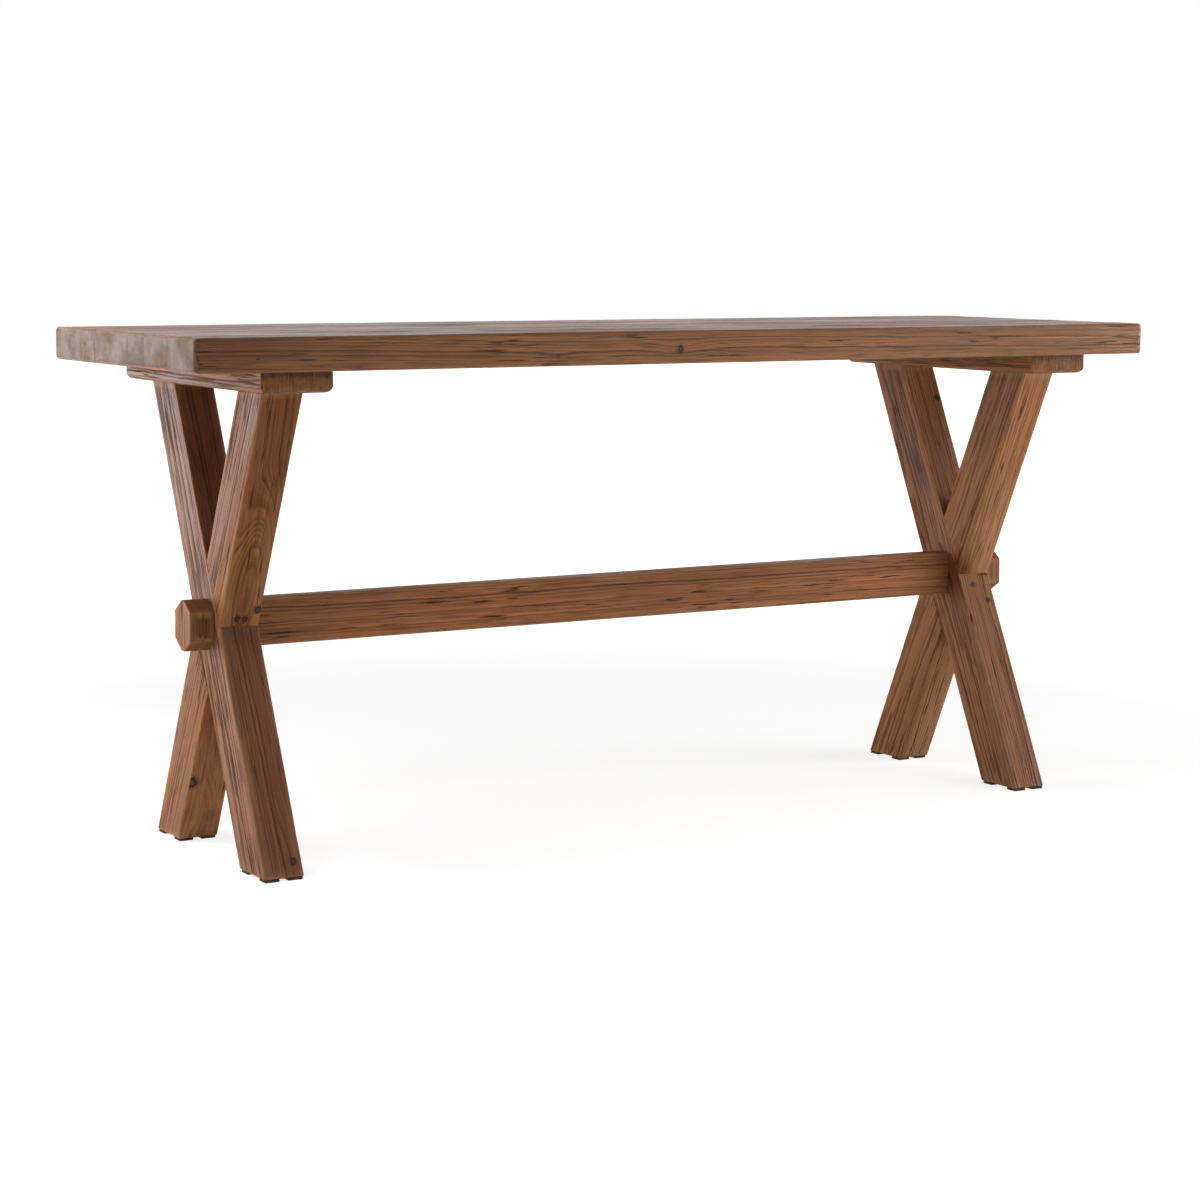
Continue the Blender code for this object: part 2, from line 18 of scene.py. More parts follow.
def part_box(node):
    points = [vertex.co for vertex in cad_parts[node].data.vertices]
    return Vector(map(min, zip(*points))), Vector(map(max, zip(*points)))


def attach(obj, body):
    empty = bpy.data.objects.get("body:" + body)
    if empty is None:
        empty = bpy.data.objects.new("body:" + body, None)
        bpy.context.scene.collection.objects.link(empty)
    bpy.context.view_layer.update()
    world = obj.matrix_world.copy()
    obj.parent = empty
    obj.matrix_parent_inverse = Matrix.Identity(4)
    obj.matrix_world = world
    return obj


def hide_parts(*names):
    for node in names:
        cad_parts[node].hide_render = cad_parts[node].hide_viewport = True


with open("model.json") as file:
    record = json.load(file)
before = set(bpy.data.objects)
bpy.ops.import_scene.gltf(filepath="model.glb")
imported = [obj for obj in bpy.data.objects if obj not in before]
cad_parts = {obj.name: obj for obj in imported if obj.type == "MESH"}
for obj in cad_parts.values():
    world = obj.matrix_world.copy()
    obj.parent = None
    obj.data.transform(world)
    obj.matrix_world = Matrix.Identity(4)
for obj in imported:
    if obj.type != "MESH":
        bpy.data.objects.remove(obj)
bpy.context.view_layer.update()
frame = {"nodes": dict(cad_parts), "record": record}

# Camera: its focal length and centre are in the photograph's pixels, its sensor in millimetres
PHOTO_SIDE = 1200
SENSOR_WIDTH = 36.0
FOCAL_PIXELS = 2752.96
CENTRE_PIXEL = (548.0, 492.0)
CAMERA_PLACE = (-2.7118, -4.4264, 1.0781)
CAMERA_YAW = math.radians(29.9776)
CAMERA_PITCH = math.radians(-5.1770)
CAMERA_ROLL = math.radians(0.1997)

# Worn edges: radii of the roundings
TOP_EDGE = 0.0056
TOP_END_EDGE = 0.0085
SEAM_EDGE = 0.0003
CLEAT_LOWER_EDGE = 0.0108
CLEAT_CORNER = 0.0022
TIGHT_EDGE = 0.0010
LEAST_EDGE = TIGHT_EDGE / 3
LEG_EDGE = 0.0034
FOOT_EDGE = 0.0038
STRETCHER_EDGE = 0.0034
BLOCK_EDGE = 0.0029
BLOCK_ARRIS = 0.0012
PAD_CORNER = 0.0032
PAD_RIM = 0.0008
PAD_UPPER_RIM = TIGHT_EDGE / 2

# As built: the planks' number, the legs' width across the grain, and the tips of the eight-sided blocks
PLANK_COUNT = 6
LEG_WIDTH = 0.0955
BLOCK_TIP_WIDTH = 0.012
BLOCK_TIP_DROP = 0.020

# Wear: how deep the surface lies under the solid's, and what rubbing and chips take from the edges
SKIN = 0.00008
WAVE_DEPTH = 0.00022
RUB_DEPTH = 0.0006
CHIP_DEPTH = 0.0015
WEAR_REACH = 0.005
SEAM_REACH = 0.010
# how far the tint of rubbed edges, partly a painted highlight, reaches from the edges
EDGE_TINT_REACH = 0.008
PLANK_CROWN = 0.0006
PLANK_WAVE_DEPTH = 0.0006
PAD_WEAR = 0.2

# Noise of the wear: waves for each metre along a board and across it, and the level at which chips begin
BOARD_WAVES = (7.0, 22.0, 22.0)
PLANK_WAVES = (2.2, 20.0, 20.0)
RUB_WAVES = (11, 15, 15)
CHIP_WAVES = (38, 45, 45)
CHIP_FROM = 0.25

# Mesh steps
STATION_STEP = 0.012
STATION_GAP = 1e-5
WELD_GAP = 1e-6
SIDE_STEP = 0.014
SUPPORT_STEP = 0.0015
SUPPORT_SHARE = 0.25
CAP_STEPS = (0.0015, 0.008, 0.016)
CAP_SHARE = 0.4
ROUND_STEPS = 5
LEG_FIT_ROUNDS = 20
SHARP_ANGLE = math.radians(40)

# Which way a surface faces: from where to where along the grain it turns into a sawn end, and how sharply
# the sides that face v part from those that face w
SAWN_FACING = (0.72, 0.92)
FACING_CONTRAST = 2.0

# Softboxes: name, place, target, width and height, power in watts, spread in degrees
SOFTBOXES = (
    ("back_left", (-3.0, 1.9, 1.15), (-0.8, 0.0, 0.45), (2.2, 2.2), 50.0, 180.0),
    ("left_near", (-1.6, 1.6, 0.95), (-0.9, 0.0, 0.60), (1.0, 1.2), 14.0, 180.0),
    ("overhead", (0.0, -0.3, 3.6), (0.0, 0.0, 0.5), (4.0, 3.0), 17.0, 180.0),
    ("floor_left", (-2.0, 0.2, 2.2), (-2.0, 0.2, 0.0), (1.0, 1.6), 36.0, 70.0),
    ("floor_near", (0.0, -1.3, 2.0), (0.0, -1.3, 0.0), (2.4, 0.8), 7.0, 60.0),
    ("floor_right", (2.2, -2.0, 2.2), (2.2, -2.0, 0.0), (1.6, 1.2), 18.0, 70.0),
    ("right_low", (4.2, -1.6, 0.6), (0.6, 0.0, 0.5), (1.4, 0.8), 98.0, 180.0),
    ("high_front", (2.4, -3.2, 3.0), (0.6, 0.0, 0.5), (2.0, 1.2), 42.0, 180.0),
    ("high_right", (3.4, -2.2, 2.8), (0.6, 0.0, 0.5), (2.0, 1.2), 20.0, 180.0),
)

# World: even light, and how far back a mirrored ray points where the white backdrop starts and is full
AMBIENT = 0.06
BACKDROP_EDGE = (0.0, 0.35)

# Floor: how pale it is, how much of its white shows by itself, and where its shadow fades out
FLOOR_ALBEDO = 0.80
FLOOR_GLOW = 0.60
FLOOR_GLOW_STRENGTH = 1.35
SHADOW_FADE = (1.6, 3.2)
FLOOR_HALF_SIDE = 20.0
FLOOR_DROP = 0.0002

# Turns from a board's (u, v, w) to the table's axes, for boards that run along Y and for upright ones
ALONG_Y = Matrix(((0, 1, 0, 0), (1, 0, 0, 0), (0, 0, 1, 0), (0, 0, 0, 1)))
UPRIGHT = Matrix(((0, 1, 0, 0), (0, 0, 1, 0), (1, 0, 0, 0), (0, 0, 0, 1)))

# The sides of a rectangle that glue can hold, counted from its bottom
FAR_SIDE, NEAR_SIDE = 1, 3

SLOT_OF = {row["node"]: row["material_slot"] for row in frame["record"]["subparts"]}


@dataclass
class Board:
    """A piece of timber: an outline of (v, w) corners swept along u, placed by a matrix."""

    node: str
    outline: list
    radii: list
    low: float
    high: float
    low_radii: list
    high_radii: list
    place: Matrix = field(default_factory=lambda: Matrix.Identity(4))
    grain_order: tuple = (0, 1, 2)
    glued_sides: tuple = ()
    crown: float = 0.0
    waves: tuple = BOARD_WAVES
    wave_depth: float = WAVE_DEPTH
    wear: float = 1.0


def rectangle(v, w):
    """Corners of a rectangle, counted from its lowest: bottom, far side, top, near side."""
    return [(v[0], w[0]), (v[1], w[0]), (v[1], w[1]), (v[0], w[1])]


def inset_outline(outline, insets):
    """Moves each side of a convex outline inwards by its own inset."""
    count = len(outline)
    lines = []
    for i in range(count):
        start, end = Vector(outline[i]), Vector(outline[(i + 1) % count])
        along = (end - start).normalized()
        inward = Vector((-along.y, along.x))
        lines.append((start + inward * insets[i], along))
    corners = []
    for i in range(count):
        (p, a), (q, b) = lines[i - 1], lines[i]
        step = (q - p).cross(b) / a.cross(b)
        corners.append(p + a * step)
    return corners


def side_fractions(length):
    """Places along a side: one close to each end, which keeps it flat, and even ones between."""
    support = min(SUPPORT_STEP / length, SUPPORT_SHARE)
    count = max(1, round(length / SIDE_STEP))
    return [support + (1 - 2 * support) * i / count for i in range(count + 1)]


def corner_arc(corner, before, after, radius):
    """Points of the rounding at a corner, from the side before it to the side after it."""
    back = (before - corner).normalized()
    ahead = (after - corner).normalized()
    half_angle = back.angle(ahead) / 2
    centre = corner + (back + ahead).normalized() * radius / math.sin(half_angle)
    first = corner + back * radius / math.tan(half_angle) - centre
    turn = (math.pi - 2 * half_angle) / ROUND_STEPS
    return [centre + Matrix.Rotation(turn * k, 2) @ first for k in range(ROUND_STEPS + 1)]


def ring_points(board, insets, fractions):
    """One rounded ring: an arc at each corner and the points of the side that follows it."""
    corners = inset_outline(board.outline, insets)
    count = len(corners)
    arcs = []
    for i in range(count):
        radius = max(board.radii[i] - max(insets[i - 1], insets[i]), LEAST_EDGE)
        arcs.append(corner_arc(corners[i], corners[i - 1], corners[(i + 1) % count], radius))
    points = []
    for i in range(count):
        start, end = arcs[i][-1], arcs[(i + 1) % count][0]
        points += arcs[i]
        points += [start.lerp(end, t) for t in fractions[i]]
    return points


def end_inset(distance, radius):
    """How far a rounded end has drawn in, at a distance from it."""
    if distance >= radius:
        return 0.0
    return radius - math.sqrt(radius**2 - (radius - distance) ** 2)


def end_distances(radii):
    """Distances from an end at which its roundings are cut, and one just behind them."""
    angles = [math.pi / 2 * k / ROUND_STEPS for k in range(ROUND_STEPS + 1)]
    return {r * (1 - math.cos(a)) for r in radii for a in angles} | {max(radii) + SUPPORT_STEP}


def stations(board):
    """Places along the board: close together over the rounded ends, and even between them."""
    places = {board.low + d for d in end_distances(board.low_radii)}
    places |= {board.high - d for d in end_distances(board.high_radii)}
    start = board.low + max(board.low_radii) + SUPPORT_STEP
    end = board.high - max(board.high_radii) - SUPPORT_STEP
    count = round((end - start) / STATION_STEP)
    places |= {start + (end - start) * i / count for i in range(1, count)}
    kept = []
    for u in sorted(places):
        if not kept or u - kept[-1] > STATION_GAP:
            kept.append(u)
    return kept


def cap_insets(board, end_radii):
    """Insets of the rings that close an end, from its rounding inwards."""
    corners = np.array(inset_outline(board.outline, end_radii))
    room = CAP_SHARE * np.ptp(corners, axis=0).min()
    return [[r + step for r in end_radii] for step in CAP_STEPS if step < room]


def plane_distances(board, u, v, w):
    """Distances of points to the board's ends and its open sides, one row for each face."""
    rows = [u - board.low, board.high - u]
    count = len(board.outline)
    for i in set(range(count)) - set(board.glued_sides):
        (v0, w0), (v1, w1) = board.outline[i], board.outline[(i + 1) % count]
        length = math.hypot(v1 - v0, w1 - w0)
        rows.append(((v1 - v0) * (w - w0) - (w1 - w0) * (v - v0)) / length)
    return np.array(rows)


def edge_nearness(board, u, v, w, reach):
    """1 on the board's edges, falling to 0 at a reach from them."""
    second = np.sort(plane_distances(board, u, v, w), axis=0)[1]
    share = np.clip(1 - second / reach, 0, 1)
    return share * share * (3 - 2 * share)


def seed_of(name):
    """A place in the noise that belongs to a name."""
    total = sum((i + 1) * ord(c) for i, c in enumerate(name))
    return Vector((total % 97, total % 89, total % 83))


def crown_drop(board, v, w):
    """How far a crowned upper face drops towards its seams; lower points follow it in proportion."""
    (v0, w0), (v1, w1) = board.outline[0], board.outline[2]
    across = (2 * v - v0 - v1) / (v1 - v0)
    rise = np.clip((2 * w - w0 - w1) / (w1 - w0), 0, 1)
    return board.crown * across**2 * rise


def seam_share(board, v):
    """0 on the glued sides, rising to 1 at a little way from them."""
    share = np.ones_like(v)
    for side in board.glued_sides:
        share = np.minimum(share, np.abs(v - board.outline[side][0]) / SEAM_REACH)
    return share


def wear_noise(point, waves, shift):
    """Noise from -1 to 1 at a point of a board."""
    return noise.noise(Vector([c * count for c, count in zip(point, waves)]) + shift)


def wear_depth(board, seed, point, edge, share):
    """How deep wear has gone at a point of the board: waves all over, rubbing and chips on the edges."""
    wave = 0.5 + 0.5 * wear_noise(point, board.waves, seed)
    rub = 0.5 + 0.5 * wear_noise(point, RUB_WAVES, -seed)
    chip = max(0.0, wear_noise(point, CHIP_WAVES, 2 * seed) - CHIP_FROM)
    worn = edge * board.wear * (RUB_DEPTH * rub * rub + CHIP_DEPTH * chip)
    return SKIN + share * (board.wave_depth * wave + worn)


def board_rings(board):
    """Every ring of the board as (u, points): the first cap, the length and the last cap."""
    count = len(board.outline)
    lengths = [math.dist(board.outline[i], board.outline[(i + 1) % count]) for i in range(count)]
    fractions = [side_fractions(length) for length in lengths]
    rings = [(board.low, insets) for insets in reversed(cap_insets(board, board.low_radii))]
    for u in stations(board):
        pairs = zip(board.low_radii, board.high_radii)
        rings.append((u, [end_inset(u - board.low, a) + end_inset(board.high - u, b) for a, b in pairs]))
    rings += [(board.high, insets) for insets in cap_insets(board, board.high_radii)]
    return [(u, ring_points(board, insets, fractions)) for u, insets in rings]


def sweep_board(board):
    """The board's outer surface as a bmesh, with its edges worn."""
    bm = bmesh.new()
    rings = [[bm.verts.new((u, p.x, p.y)) for p in points] for u, points in board_rings(board)]
    size = len(rings[0])
    for lower, upper in zip(rings, rings[1:]):
        for i in range(size):
            j = (i + 1) % size
            bm.faces.new((lower[i], lower[j], upper[j], upper[i]))
    bm.faces.new(rings[0])
    bm.faces.new(rings[-1])
    places = np.array([vert.co for vert in bm.verts])
    edges = edge_nearness(board, *places.T, WEAR_REACH)
    seed = seed_of(board.node)
    shares = seam_share(board, places[:, 1])
    depths = [wear_depth(board, seed, *point) for point in zip(places, edges, shares)]
    for vert, drop in zip(bm.verts, crown_drop(board, places[:, 1], places[:, 2])):
        vert.co.z -= drop
    bmesh.ops.transform(bm, matrix=board.place, verts=bm.verts)
    bmesh.ops.recalc_face_normals(bm, faces=bm.faces)
    bm.normal_update()
    normals = [vert.normal.copy() for vert in bm.verts]
    for vert, depth, normal in zip(bm.verts, depths, normals):
        vert.co -= normal * depth
    return bm


def add_object(name, bm):
    """Links a bmesh as a new object."""
    mesh = bpy.data.meshes.new(name)
    bm.to_mesh(mesh)
    bm.free()
    obj = bpy.data.objects.new(name, mesh)
    bpy.context.scene.collection.objects.link(obj)
    return obj


def cut_to_node(piece, node):
    """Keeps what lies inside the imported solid, so that its laps, bores and counterbores are cut."""
    bm = bmesh.new()
    bm.from_mesh(frame["nodes"][node].data)
    bmesh.ops.remove_doubles(bm, verts=bm.verts, dist=WELD_GAP)
    solid = add_object(f"{node}_solid", bm)
    modifier = piece.modifiers.new("fit", "BOOLEAN")
    modifier.operation = "INTERSECT"
    modifier.solver = "MANIFOLD"
    modifier.object = solid
    depsgraph = bpy.context.evaluated_depsgraph_get()
    mesh = bpy.data.meshes.new_from_object(piece.evaluated_get(depsgraph))
    piece.modifiers.clear()
    piece.data = mesh
    bpy.data.objects.remove(solid)


def store(mesh, name, kind, domain, values):
    """Writes one value for each point or face corner of a mesh."""
    attribute = mesh.attributes.new(name, kind, domain)
    field_name = "vector" if kind == "FLOAT_VECTOR" else "value"
    attribute.data.foreach_set(field_name, values.astype(np.float32).ravel())


def mark_surface(piece, board):
    """Stores each point's place in the timber and nearness to an edge, and each corner's facing."""
    mesh = piece.data
    co = np.empty(len(mesh.vertices) * 3)
    mesh.vertices.foreach_get("co", co)
    normals = np.empty(len(mesh.loops) * 3)
    mesh.corner_normals.foreach_get("vector", normals)
    inverse = np.array(board.place.inverted())
    places = co.reshape(-1, 3) @ inverse[:3, :3].T + inverse[:3, 3]
    middle = np.array([(board.low + board.high) / 2, *np.mean(board.outline, axis=0)])
    store(mesh, "grain", "FLOAT_VECTOR", "POINT", (places - middle)[:, board.grain_order])
    store(mesh, "edge", "FLOAT", "POINT", edge_nearness(board, *places.T, EDGE_TINT_REACH))
    ways = np.array(board.place)[:3, :3][:, board.grain_order]
    ways /= np.linalg.norm(ways, axis=0)
    toward_end, toward_v, toward_w = np.abs(normals.reshape(-1, 3) @ ways).T
    store(mesh, "end", "FLOAT", "CORNER", np.interp(toward_end, SAWN_FACING, (0, 1)))
    lead = FACING_CONTRAST * (toward_v - toward_w)
    store(mesh, "facing_v", "FLOAT", "CORNER", np.clip(0.5 + lead, 0, 1))


def plank_boards():
    """The planks of the top, rounded on the outside of the slab and sharp along their seams."""
    boards = []
    for number in range(1, PLANK_COUNT + 1):
        node = f"top_plank_{number}"
        low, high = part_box(node)
        outer_front, outer_back = number == 1, number == PLANK_COUNT
        front = TOP_EDGE if outer_front else SEAM_EDGE
        back = TOP_EDGE if outer_back else SEAM_EDGE
        end_front = TOP_END_EDGE if outer_front else SEAM_EDGE
        end_back = TOP_END_EDGE if outer_back else SEAM_EDGE
        ends = [TOP_END_EDGE, end_back, TOP_END_EDGE, end_front]
        outline = rectangle((low.y, high.y), (low.z, high.z))
        board = Board(node, outline, [front, back, back, front], low.x, high.x, ends, ends)
        outer_sides = {FAR_SIDE: outer_back, NEAR_SIDE: outer_front}
        board.glued_sides = tuple(side for side, outer in outer_sides.items() if not outer)
        board.crown = PLANK_CROWN
        board.waves = PLANK_WAVES
        board.wave_depth = PLANK_WAVE_DEPTH
        boards.append(board)
    return boards


def stretcher_board():
    """The beam between the trestles."""
    low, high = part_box("stretcher")
    outline = rectangle((low.y, high.y), (low.z, high.z))
    ends = [TIGHT_EDGE] * 4
    return Board("stretcher", outline, [STRETCHER_EDGE] * 4, low.x, high.x, ends, ends)


def cleat_board(side):
    """A batten under the top: its grain runs along Y, and its lower edges are well rounded."""
    node = f"{side}_cleat"
    low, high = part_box(node)
    outline = rectangle((low.x, high.x), (low.z, high.z))
    ends = [CLEAT_LOWER_EDGE, CLEAT_CORNER, TIGHT_EDGE, CLEAT_CORNER]
    radii = [CLEAT_LOWER_EDGE, CLEAT_LOWER_EDGE, TIGHT_EDGE, TIGHT_EDGE]
    return Board(node, outline, radii, low.y, high.y, ends, ends, ALONG_Y)


def level_half_span(span, rise):
    """Half of a leg's level cut across: the cut widens with the slope that it leaves."""
    half = LEG_WIDTH / 2
    for _ in range(LEG_FIT_ROUNDS):
        slope = (span - 2 * half) / rise
        half = LEG_WIDTH / 2 * math.hypot(1, slope)
    return half


def leg_board(side, foot):
    """A leg, swept upwards through level cuts that slide across with its slope."""
    node = f"{side}_leg_{foot}"
    low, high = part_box(node)
    rise = high.z - low.z
    span = high.y - low.y
    half_span = level_half_span(span, rise)
    lean = 1 if foot == "front" else -1
    slope = lean * (span - 2 * half_span) / rise
    foot_middle = low.y + half_span if lean > 0 else high.y - half_span
    middle_x = (low.x + high.x) / 2
    half_x = (high.x - low.x) / 2
    place = Matrix(
        ((0, 1, 0, middle_x), (slope, 0, 1, foot_middle - slope * low.z), (1, 0, 0, 0), (0, 0, 0, 1))
    )
    outline = rectangle((-half_x, half_x), (-half_span, half_span))
    return Board(node, outline, [LEG_EDGE] * 4, low.z, high.z, [FOOT_EDGE] * 4, [TIGHT_EDGE] * 4, place)


def block_board(side):
    """An eight-sided block, swept along X; its grain runs upright."""
    node = f"{side}_end_block"
    low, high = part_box(node)
    middle_y = (low.y + high.y) / 2
    tip = BLOCK_TIP_WIDTH / 2
    lower, upper = low.z + BLOCK_TIP_DROP, high.z - BLOCK_TIP_DROP
    outline = [
        (middle_y - tip, low.z),
        (middle_y + tip, low.z),
        (high.y, lower),
        (high.y, upper),
        (middle_y + tip, high.z),
        (middle_y - tip, high.z),
        (low.y, upper),
        (low.y, lower),
    ]
    outer, inner = [BLOCK_EDGE] * 8, [TIGHT_EDGE] * 8
    ends = (outer, inner) if side == "left" else (inner, outer)
    return Board(node, outline, [BLOCK_ARRIS] * 8, low.x, high.x, *ends, grain_order=(2, 0, 1))


def pad_boards():
    """The square pads under the feet, swept upwards, with their rims worn round."""
    boards = []
    for node in (name for name, slot in SLOT_OF.items() if slot == "pad_rubber"):
        low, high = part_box(node)
        outline = rectangle((low.x, high.x), (low.y, high.y))
        rims = [PAD_RIM] * 4, [PAD_UPPER_RIM] * 4
        radii = [PAD_CORNER] * 4
        boards.append(Board(node, outline, radii, low.z, high.z, *rims, UPRIGHT, wear=PAD_WEAR))
    return boards


def all_boards():
    """Every board of the table."""
    boards = plank_boards() + [stretcher_board()]
    for side in ("left", "right"):
        boards.append(cleat_board(side))
        boards += [leg_board(side, foot) for foot in ("front", "back")]
        boards.append(block_board(side))
    return boards


class Wiring:
    """Short forms for wiring a node tree."""

    def __init__(self, tree):
        self.tree = tree

    def node(self, kind, **settings):
        """A new node with its settings."""
        made = self.tree.nodes.new(kind)
        for key, value in settings.items():
            setattr(made, key, value)
        return made

    def feed(self, socket, value):
        """Links a socket's source, or sets its value."""
        if isinstance(value, bpy.types.NodeSocket):
            self.tree.links.new(value, socket)
        else:
            socket.default_value = value

    def fed(self, node, values):
        """A node whose first sockets take these values."""
        for socket, value in zip(node.inputs, values):
            self.feed(socket, value)
        return node

    def math(self, operation, *values):
        """One operation on numbers."""
        return self.fed(self.node("ShaderNodeMath", operation=operation), values).outputs[0]

    def add(self, *values):
        """The sum of several numbers."""
        total = values[0]
        for value in values[1:]:
            total = self.math("ADD", total, value)
        return total

    def times(self, *values):
        """The product of several numbers."""
        total = values[0]
        for value in values[1:]:
            total = self.math("MULTIPLY", total, value)
        return total

    def less(self, value, taken):
        """A number less another."""
        return self.math("SUBTRACT", value, taken)

    def most(self, first, second):
        """The larger of two numbers."""
        return self.math("MAXIMUM", first, second)

    def hypotenuse(self, first, second):
        """The long side over two short ones."""
        return self.math("SQRT", self.add(self.times(first, first), self.times(second, second)))

    def shares(self, values, weights):
        """The sum of several numbers, each times its weight."""
        return self.add(*[self.times(value, weight) for value, weight in zip(values, weights)])

    def between(self, value, low, high, to_low=0.0, to_high=1.0):
        """A smooth step from low to high."""
        made = self.node("ShaderNodeMapRange", interpolation_type="SMOOTHSTEP")
        return self.fed(made, (value, low, high, to_low, to_high)).outputs[0]

    def parts(self, vector):
        """The three numbers of a vector."""
        return self.fed(self.node("ShaderNodeSeparateXYZ"), (vector,)).outputs


class Shader(Wiring):
    """A material of one surface, and short forms for its patterns and colours."""

    def __init__(self, name):
        self.material = bpy.data.materials.new(name)
        self.material.use_nodes = True
        super().__init__(self.material.node_tree)
        self.surface = self.tree.nodes["Principled BSDF"]

    def attribute(self, name, output):
        """A value that the mesh stores."""
        return self.node("ShaderNodeAttribute", attribute_name=name).outputs[output]

    def noise(self, place, waves, shift=(0, 0, 0), detail=2):
        """Noise around 0.5, with so many waves for each metre."""
        scaled = self.node("ShaderNodeVectorMath", operation="MULTIPLY_ADD")
        self.fed(scaled, (place, waves, shift))
        made = self.node("ShaderNodeTexNoise")
        made.inputs["Scale"].default_value = 1.0
        made.inputs["Detail"].default_value = detail
        self.feed(made.inputs["Vector"], scaled.outputs[0])
        return made.outputs["Fac"]

    def noise_along(self, value):
        """Noise around 0.5 along one number."""
        made = self.node("ShaderNodeTexNoise", noise_dimensions="1D")
        made.inputs["Scale"].default_value = 1.0
        made.inputs["Detail"].default_value = 1.0
        self.feed(made.inputs["W"], value)
        return made.outputs["Fac"]

    def ramp(self, value, stops):
        """A level that follows (place, level) stops."""
        made = self.node("ShaderNodeValToRGB")
        elements = made.color_ramp.elements
        while len(elements) < len(stops):
            elements.new(1.0)
        for element, (place, level) in zip(elements, stops):
            element.position = place
            element.color = (level, level, level, 1.0)
        self.feed(made.inputs[0], value)
        return made.outputs[0]

    def grey(self, value):
        """A colour with one level in all its channels."""
        return self.fed(self.node("ShaderNodeCombineColor"), (value, value, value)).outputs[0]

    def mix(self, factor, first, second, blend="MIX"):
        """Two colours mixed by a factor, or blended in another way."""
        made = self.node("ShaderNodeMix", data_type="RGBA", blend_type=blend)
        sockets = made.inputs[0], made.inputs[6], made.inputs[7]
        for socket, value in zip(sockets, (factor, first, second)):
            self.feed(socket, (*value, 1.0) if isinstance(value, tuple) else value)
        return made.outputs[2]

    def bump(self, height, strength, distance):
        """A fine relief on the surface."""
        made = self.node("ShaderNodeBump")
        made.inputs["Strength"].default_value = strength
        made.inputs["Distance"].default_value = distance
        self.feed(made.inputs["Height"], height)
        self.feed(self.surface.inputs["Normal"], made.outputs[0])

    def finish(self, colour, roughness, specular=0.5, metallic=0.0):
        """Connects the colour and the roughness, and sets what is the same all over."""
        self.feed(self.surface.inputs["Base Color"], colour)
        self.feed(self.surface.inputs["Roughness"], roughness)
        self.surface.inputs["Specular IOR Level"].default_value = specular
        self.surface.inputs["Metallic"].default_value = metallic
        return self.material


@dataclass
class Knot:
    """Where a branch left the board, along v or w: its radius, its swirl of the rings, its darkness."""

    along: float
    across: float
    way: str
    size: float
    swirl: float
    dark: float = 1.0


@dataclass
class Mark:
    """A dark dash along the grain, on the faces that a branch along v or w would leave."""

    along: float
    across: float
    way: str
    length: float
    width: float = 0.0016


@dataclass
class Growth:
    """How a board grew, and how its wood looks.

    The pith passes the board's middle at (v, w) and leans along u. Tones scale the brightness: of all
    sides and of sawn ends; painted_side_light is painted light that scales the sides that face v. A
    painted shade at one end, painted_end_shade, has its start, its stop and its tone. Green, blue and
    gloss scale those alone. Streaks lie on the sides that face w and side streaks on those that face v,
    which are stained from stain_from on. Sawn ends carry a painted shadow, with a ragged edge, above
    painted_shadow_from.
    """

    pith: tuple
    lean: tuple
    tone: float = 1.0
    # painted light: brightens or darkens the sides that face v, as the light falls on them
    painted_side_light: float = 1.0
    # painted shade: the board is darker towards one end, where less light falls
    painted_end_shade: tuple = (-1.0, -0.6, 1.0)
    green: float = 1.0
    blue: float = 1.0
    gloss: float = 1.0
    end_tone: float = 0.6
    # painted shadow: sawn ends are darkened above this height, as in the shadow of the top
    painted_shadow_from: float = 1.0
    side_streaks: float = 0.6
    streaks: float = 0.35
    stain_from: float = 1.0
    knots: tuple = ()
    marks: tuple = ()


@dataclass
class Lacquer:
    """Gloss, roughness, rubbing of edges with a painted highlight, and shares of saw lines, stripes and
    blotches on ends.
    """

    gloss: float
    roughness: float
    rubbed_and_highlit: float
    sawn: tuple


TOP_LACQUER = Lacquer(gloss=0.28, roughness=0.19, rubbed_and_highlit=0.12, sawn=(0.12, 0.25, 0.63))
FRAME_LACQUER = Lacquer(gloss=0.15, roughness=0.30, rubbed_and_highlit=0.75, sawn=(0.50, 0.25, 0.25))

# Colours of the stained wood: between the rings, in the rings, in a stain and in painted shade, in dark
# streaks, in checks, on rubbed edges with a painted highlight, in knots and on sawn ends
EARLY_WOOD = (0.290, 0.109, 0.040)
LATE_WOOD = (0.112, 0.042, 0.0185)
# also the colour of the painted shadow on the upper part of sawn ends
STAIN_AND_PAINTED_SHADE = (0.050, 0.030, 0.024)
STREAK = (0.030, 0.018, 0.014)
CHECK = (0.022, 0.013, 0.010)
# rubbed edges, partly real wear and partly a painted highlight where edges catch the light
RUBBED_AND_HIGHLIT = (0.400, 0.195, 0.092)
KNOT = (0.024, 0.012, 0.008)
END_GRAIN = (0.215, 0.088, 0.036)
STREAK_STRENGTH = 0.9
CHECK_STRENGTH = 0.8

# Patterns of the wood: waves for each metre along the grain, along v and along w
FIBRE_WAVES = (16, 800, 800)
BAND_WAVES = (1.5, 160, 160)
CLOUD_WAVES = (2.0, 14, 14)
PATCH_WAVES = (6, 34, 34)
STREAK_WAVES = (9, 170, 125)
DASH_WAVES = (14, 300, 300)
KNOT_RIM_WAVES = (110, 170, 170)
MARK_RIM_WAVES = (60, 500, 500)
SAW_WAVES = (30, 420, 26)
STRIPE_WAVES = (30, 34, 3)
BLOTCH_WAVES = (30, 26, 55)
PIT_WAVES = (30, 62, 115)
# waves of the ragged edge of the painted shadow on sawn ends
END_SHADOW_WAVES = (30, 240, 12)

